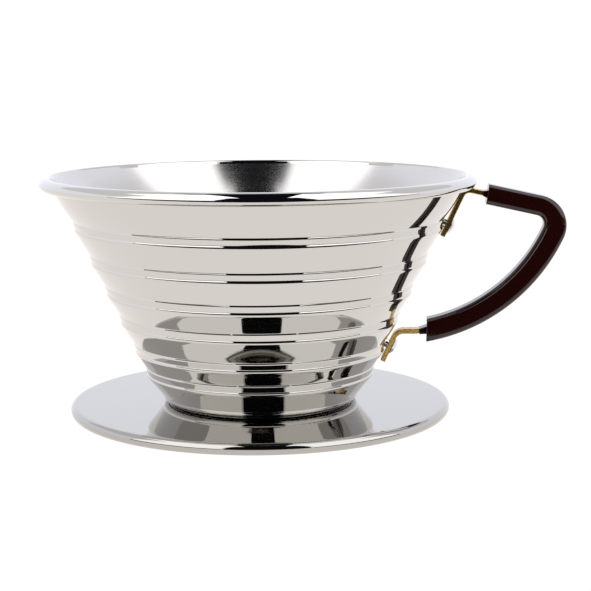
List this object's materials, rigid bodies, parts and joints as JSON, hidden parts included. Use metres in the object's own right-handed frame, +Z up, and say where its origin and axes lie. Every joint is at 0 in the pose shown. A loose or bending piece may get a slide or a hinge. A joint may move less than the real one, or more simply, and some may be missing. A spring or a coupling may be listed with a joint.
{
  "type": "pour over dripper",
  "caption": "Stepped steel cone for flat-bottomed wave filters on a round saucer, with a brass strap handle moulded into a dark resin grip.",
  "frame": {"origin": "centre of the outlet collar's mouth, on the cone's axis, in the plane that the saucer's hem rests on", "axes": "+Z up along the cone's axis, +X towards the handle"},
  "size_m": [0.1395, 0.116, 0.0639],
  "materials": {
    "polished_steel": "stainless sheet, mirror polished outside, circular satin brushing inside",
    "saucer_steel": "stainless sheet, mirror polished",
    "brass_strap": "rolled brass strip, lightly polished",
    "grip_resin": "glossy dark brown moulded resin",
    "rivet_steel": "polished steel"
  },
  "bodies": {
    "root": {"cone_body": "polished_steel", "base_flange": "saucer_steel", "handle_strap": "brass_strap", "handle_grip": "grip_resin", "upper_rivet": "rivet_steel", "lower_rivet": "rivet_steel"}
  },
  "joints": []
}
